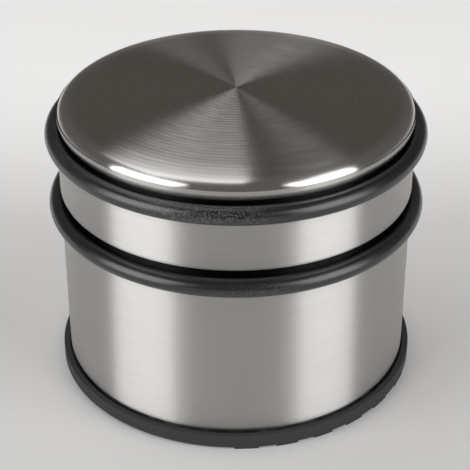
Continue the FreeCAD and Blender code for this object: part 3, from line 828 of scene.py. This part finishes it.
def tread_tree():
    """Joins parallel bars to a tray and turns the whole to its angle."""
    tree, graph, start = new_tree("tread bars", [
        ("Sole radius", "NodeSocketFloat"),
        ("Grooves", "NodeSocketInt"),
        ("Pitch", "NodeSocketFloat"),
        ("Bar width", "NodeSocketFloat"),
        ("Depth", "NodeSocketFloat"),
        ("Stop short", "NodeSocketFloat"),
        ("Stop before", "NodeSocketFloat"),
        ("Turn", "NodeSocketFloat"),
        ("Finish", "NodeSocketMaterial"),
    ])
    edge = start.other("Sole radius") - BAR_INSET
    grooves, pitch, width = start.other("Grooves"), start.other("Pitch"), start.other("Bar width")
    number = graph.node("GeometryNodeInputIndex")
    centre = (number - grooves / 2) * pitch

    def either(operation, value, limit, yes, no):
        """One number where the test holds, and the other where it doesn't."""
        test = graph.node("FunctionNodeCompare", {"data_type": "FLOAT", "operation": operation},
                          {0: value, 1: limit})
        return graph.node("GeometryNodeSwitch", {"input_type": "FLOAT"},
                          {"Switch": test, "False": no, "True": yes})

    short_edge = edge - start.other("Stop short")
    left = either("LESS_THAN", number, 0.5, BAR_END - short_edge, centre - width / 2)
    right = either("GREATER_THAN", number, grooves - 0.5, edge - BAR_END, centre + width / 2)
    middle = graph.node("ShaderNodeCombineXYZ", None, {0: (left + right) / 2})
    size = graph.node("ShaderNodeCombineXYZ", None, {0: right - left, 1: 1.0, 2: 1.0})
    row = graph.node("GeometryNodeMeshLine", None, {"Count": grooves + 1})
    laid = graph.node("GeometryNodeSetPosition", None, {"Geometry": row, "Position": middle})
    block = graph.node("GeometryNodeMeshCube", None,
                       {"Size": (1.0, 2.0, 1.0), "Vertices X": BAR_CUTS,
                        "Vertices Y": 2, "Vertices Z": 2})
    bars = graph.node("GeometryNodeInstanceOnPoints", None,
                      {"Points": laid, "Instance": block, "Scale": size})
    real = graph.node("GeometryNodeRealizeInstances", None, {"Geometry": bars})
    spot = graph.node("ShaderNodeSeparateXYZ", None, {0: graph.node("GeometryNodeInputPosition")})
    limit = either("LESS_THAN", spot, start.other("Stop before"), short_edge, edge)
    reach = (limit * limit - spot * spot) ** 0.5
    depth = start.other("Depth")
    tall = depth + BAR_OVERLAP
    shape = graph.node("ShaderNodeCombineXYZ", None,
                       {0: spot, 1: spot.other("Y") * reach, 2: (spot.other("Z") + 0.5) * tall})
    cut = graph.node("GeometryNodeSetPosition", None, {"Geometry": real, "Position": shape})
    joined = graph.node("GeometryNodeJoinGeometry")
    join = joined.socket.node
    tree.links.new(cut.socket, join.inputs[0])
    tree.links.new(start.socket, join.inputs[0])
    spin = graph.node("ShaderNodeCombineXYZ", None, {2: start.other("Turn")})
    turned_round = graph.node("GeometryNodeTransform", None,
                              {"Geometry": joined, "Rotation": spin})
    finish_tree(graph, turned_round, start)
    return tree


TREAD = tread_tree()
print("tread tree has", len(TREAD.nodes), "nodes")

# %% [markdown]
# ## The sole in one piece
#
# The tray is turned first, with a recess that takes the foot of the drum. The tread tree then
# adds its bars and turns the whole to the tread's direction. The result is one mesh, and the
# tray on its own is removed.

# %% Make the sole
SOLE_PLAY = 0.3 * MM
SOLE_WEB = 2.0 * MM
SOLE_EDGE = 0.25 * MM
TREAD_DEPTH = 0.55 * MM
TREAD_GROOVES = 8
TREAD_PITCH = 9.75 * MM
TREAD_GROOVE = 4.45 * MM
TREAD_TURN = math.radians(28)
STOP_SHORT = 1.6 * MM
STOP_ANGLE = math.radians(57)
recess = WALL_RADIUS + SOLE_PLAY
tray = turned("tray", [
    (0, TREAD_DEPTH, 0),
    (SOLE_RADIUS, TREAD_DEPTH, 0),
    (SOLE_RADIUS, sole_high.z, SOLE_EDGE),
    (recess, sole_high.z, SOLE_EDGE / 2),
    (recess, SOLE_WEB, 0),
    (0, SOLE_WEB, 0),
], SOLE_RUBBER, closed=False)
sole_piece = made_by(TREAD, "moulded_sole", tray.data, Sole_radius=SOLE_RADIUS,
                     Grooves=TREAD_GROOVES, Pitch=TREAD_PITCH,
                     Bar_width=TREAD_PITCH - TREAD_GROOVE, Depth=TREAD_DEPTH,
                     Stop_short=STOP_SHORT, Stop_before=-SOLE_RADIUS * math.cos(STOP_ANGLE),
                     Turn=TREAD_TURN, Finish=SOLE_RUBBER)
bpy.data.objects.remove(tray)

# %% [markdown]
# ## The metal pieces inside
#
# The pieces inside keep the shapes of the frame and only get better finishes. The anchor and
# the base plate are zinc plated, and plating grows crystals that catch the light a little
# differently, so a Voronoi pattern sets their tone. The bolt, nut and washers are plated and
# tumbled, which leaves a fine random scuff and darker patches.

# %% Zinc and fasteners
def dress(material, *nodes):
    """Gives pieces of the frame a finish, in the slots they already have."""
    for node in nodes:
        for material_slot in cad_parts[node].material_slots:
            material_slot.material = material
    print(material.name, "on", ", ".join(nodes))


def zinc_plate():
    """Bright crystals of zinc under a thin haze."""
    material, graph = new_finish("spangled_zinc")
    spot = object_spot(graph)
    crystal = cells(graph, spot, 420.0, out="Color")
    haze = noise(graph, spot, scale=160.0, detail=4.0, rough=0.6)
    grey = graph.node("ShaderNodeSeparateColor", None, {0: crystal})
    tone = grey * 0.55 + haze * 0.45
    colour = blend_colour(graph, tone, (0.50, 0.52, 0.55), (0.74, 0.75, 0.76))
    close_finish(graph, Base_Color=colour, Metallic=1.0, Roughness=0.34 + grey * 0.18,
                 Normal=relief(graph, haze, 0.2, 0.02 * MM))
    return material


def tumbled_steel():
    """Plated steel scuffed in a drum, with darker patches."""
    material, graph = new_finish("tumbled_fastener_steel")
    spot = object_spot(graph)
    scuff = noise(graph, spot, scale=1500.0, detail=5.0, rough=0.7)
    patch = noise(graph, spot, scale=220.0, detail=2.0, rough=0.5)
    tone = scuff * 0.4 + patch * 0.6
    colour = blend_colour(graph, tone, (0.44, 0.45, 0.46), (0.66, 0.67, 0.69))
    close_finish(graph, Base_Color=colour, Metallic=1.0, Roughness=0.30 + tone * 0.2,
                 Normal=relief(graph, scuff, 0.25, 0.02 * MM))
    return material


dress(zinc_plate(), "lid_anchor", "base_plate")
dress(tumbled_steel(), "anchor_nut", "flat_washer", "spring_washer", "tie_bolt")

# %% [markdown]
# ## The filling
#
# The weight is a block of cast cement. Its face shows grains of sand in a paler paste, and
# small pores where air sat against the mould, whose dark colour is painted shade. The pad
# over it is foam, which is a mass of tiny cells, and the sole is held by a thin film of
# adhesive with a cloudy look. All three are mixes of noise and cells at the right scale.

# %% Cement
# Painted shade: the dark colour inside the pores.
CEMENT_PORE_SHADE = (0.10, 0.095, 0.09)
CEMENT_SAND = (0.27, 0.25, 0.22)
CEMENT_PASTE = (0.36, 0.345, 0.32)
CEMENT_PALE = (0.50, 0.485, 0.45)


def cast_cement():
    """Sand in a cloudy paste, with pores painted dark as shade."""
    material, graph = new_finish("cast_cement")
    spot = object_spot(graph)
    grains = cells(graph, spot, 700.0)
    clouds = noise(graph, spot, scale=90.0, detail=5.0, rough=0.6)
    pores = cells(graph, spot, 240.0)
    filled = rise(graph, pores, 0.10, 0.22)
    paste = blend_colour(graph, clouds, CEMENT_PASTE, CEMENT_PALE)
    sanded = blend_colour(graph, rise(graph, grains, 0.15, 0.5), CEMENT_SAND, paste)
    close_finish(graph, Base_Color=blend_colour(graph, filled, CEMENT_PORE_SHADE, sanded),
                 Roughness=0.88 - clouds * 0.1,
                 Normal=relief(graph, filled + grains * 0.2, 0.6, 0.3 * MM))
    return material


dress(cast_cement(), "ballast")

# %% Foam and adhesive
def foam_cells():
    """Dark foam with open cells."""
    material, graph = new_finish("foam_cells")
    bubbles = cells(graph, object_spot(graph), 1600.0)
    colour = blend_colour(graph, bubbles, (0.028, 0.028, 0.031), (0.075, 0.075, 0.082))
    close_finish(graph, Base_Color=colour, Roughness=0.86 + bubbles * 0.1,
                 Normal=relief(graph, bubbles, 0.7, 0.15 * MM))
    return material


def adhesive_film():
    """A cloudy film of glue."""
    material, graph = new_finish("adhesive_film")
    cloud = noise(graph, object_spot(graph), scale=140.0, detail=6.0, rough=0.65)
    colour = blend_colour(graph, cloud, (0.64, 0.62, 0.54), (0.80, 0.79, 0.70))
    close_finish(graph, Base_Color=colour, Roughness=0.38 + cloud * 0.15,
                 Normal=relief(graph, cloud, 0.3, 0.03 * MM))
    return material


dress(foam_cells(), "ballast_pad")
dress(adhesive_film(), "sole_adhesive")

# %% [markdown]
# ## The floor
#
# The pale floor is wide enough to fill the view. It glows a little from the drum's sides to
# the back, as a lit backdrop does, and that light brightens the outer edges of the wall. It
# lies a hair under the sole, so the two never share a plane.

# %% Lay the floor
FLOOR_HALF = 4.0
FLOOR_DROP = 0.02 * MM
# Painted shade: the floor's colour is a little darker in front of the drum than behind it.
FLOOR_NEAR = (0.86, 0.86, 0.86)
FLOOR_FAR = (0.90, 0.90, 0.90)
GLOW_FROM = -0.06
GLOW_FULL = 0.18
GLOW_STRENGTH = 0.32
NO_GLOW = (0.0, 0.0, 0.0)
WHITE_GLOW = (1.0, 1.0, 1.0)


def add_floor():
    """One square face with its finish."""
    half = FLOOR_HALF
    corners = [(-half, -half), (half, -half), (half, half), (-half, half)]
    mesh = bpy.data.meshes.new("floor")
    mesh.from_pydata([(x, y, -FLOOR_DROP) for x, y in corners], [], [(0, 1, 2, 3)])
    laid = bpy.data.objects.new("floor", mesh)
    bpy.context.scene.collection.objects.link(laid)
    material, graph = new_finish("pale_floor")
    _, y, _, _ = place(graph)
    behind = rise(graph, y, GLOW_FROM, GLOW_FULL)
    close_finish(graph, Base_Color=blend_colour(graph, behind, FLOOR_NEAR, FLOOR_FAR),
                 Emission_Color=blend_colour(graph, behind, NO_GLOW, WHITE_GLOW),
                 Roughness=0.9, Emission_Strength=GLOW_STRENGTH)
    mesh.materials.append(material)
    return laid


floor = add_floor()
print(f"the floor is {2 * FLOOR_HALF:.0f} m square")

# %% [markdown]
# ## The light
#
# Steel shows what stands round it, so the light is part of its look. Two tall softboxes
# stand at the sides in front and make the two upright bands on the wall, and a small one
# high on the right softens the dark side of the lid. One wide softbox hangs overhead,
# reaching to the left, and makes the fan on the lid. The rest of the room is dim, which
# keeps the steel grey between them. Each softbox is given by its radiance, how bright its
# face looks, because that is what the steel mirrors. Its power then follows from its area.

# %% Room and softboxes
ROOM_GREY = (0.112, 0.102, 0.094)
BOX_DISTANCE = 0.9


def add_room(colour):
    """A dim even room."""
    world = bpy.data.worlds.new("room")
    world.use_nodes = True
    background = world.node_tree.nodes["Background"]
    background.inputs["Color"].default_value = (*colour, 1)
    bpy.context.scene.world = world


def add_area(name, width, height, radiance, spot, turn):
    """A rectangular light of this radiance."""
    data = bpy.data.lights.new(name, "AREA")
    data.shape = "RECTANGLE"
    data.size = width
    data.size_y = height
    data.energy = radiance * math.pi * width * height
    light = bpy.data.objects.new(name, data)
    light.location = spot
    light.rotation_euler = turn
    bpy.context.scene.collection.objects.link(light)
    print(f"{name}: {data.energy:.1f} W")


def add_softbox(name, azimuth, elevation, width, height, radiance):
    """A softbox that faces the drum, from its direction in degrees off the front."""
    around, up = math.radians(azimuth), math.radians(elevation)
    flat = math.cos(up)
    way = Vector((flat * math.sin(around), -flat * math.cos(around), math.sin(up)))
    spot = Vector((0, 0, AIM_HEIGHT)) + way * BOX_DISTANCE
    add_area(name, width, height, radiance, spot, way.to_track_quat("Z", "Y").to_euler())


def add_overhead(name, across, along, height, radiance):
    """A level softbox over the drum, from its two edges across and its two edges along."""
    spot = (sum(across) / 2, sum(along) / 2, height)
    add_area(name, across[1] - across[0], along[1] - along[0], radiance, spot, (0, 0, 0))


add_room(ROOM_GREY)
add_softbox("left_softbox", azimuth=-58, elevation=22, width=0.68, height=0.80, radiance=3.1)
add_softbox("right_softbox", azimuth=56, elevation=23, width=0.62, height=0.80, radiance=3.0)
add_softbox("right_kicker", azimuth=76, elevation=50, width=0.30, height=0.34, radiance=0.8)
add_overhead("top_softbox", across=(-0.50, 0.04), along=(-0.06, 0.76), height=0.95, radiance=1.04)
bpy.context.scene.view_settings.view_transform = "Standard"

# %% [markdown]
# ## Hand over to the frame
#
# Each new piece rides on the drum's one body and stands for the piece it replaces, which is
# hidden. The floor is only a stage.

# %% Ride and replace
for piece, node, slot in [
    (lid_piece, "lid", "lid_steel"),
    (drum_piece, "shell", "wall_steel"),
    (upper_bumper, "upper_ring", "ring_rubber"),
    (lower_bumper, "lower_ring", "ring_rubber"),
    (sole_piece, "sole", "sole_rubber"),
]:
    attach(piece, "root")
    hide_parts(node)
print("all pieces ride on root")
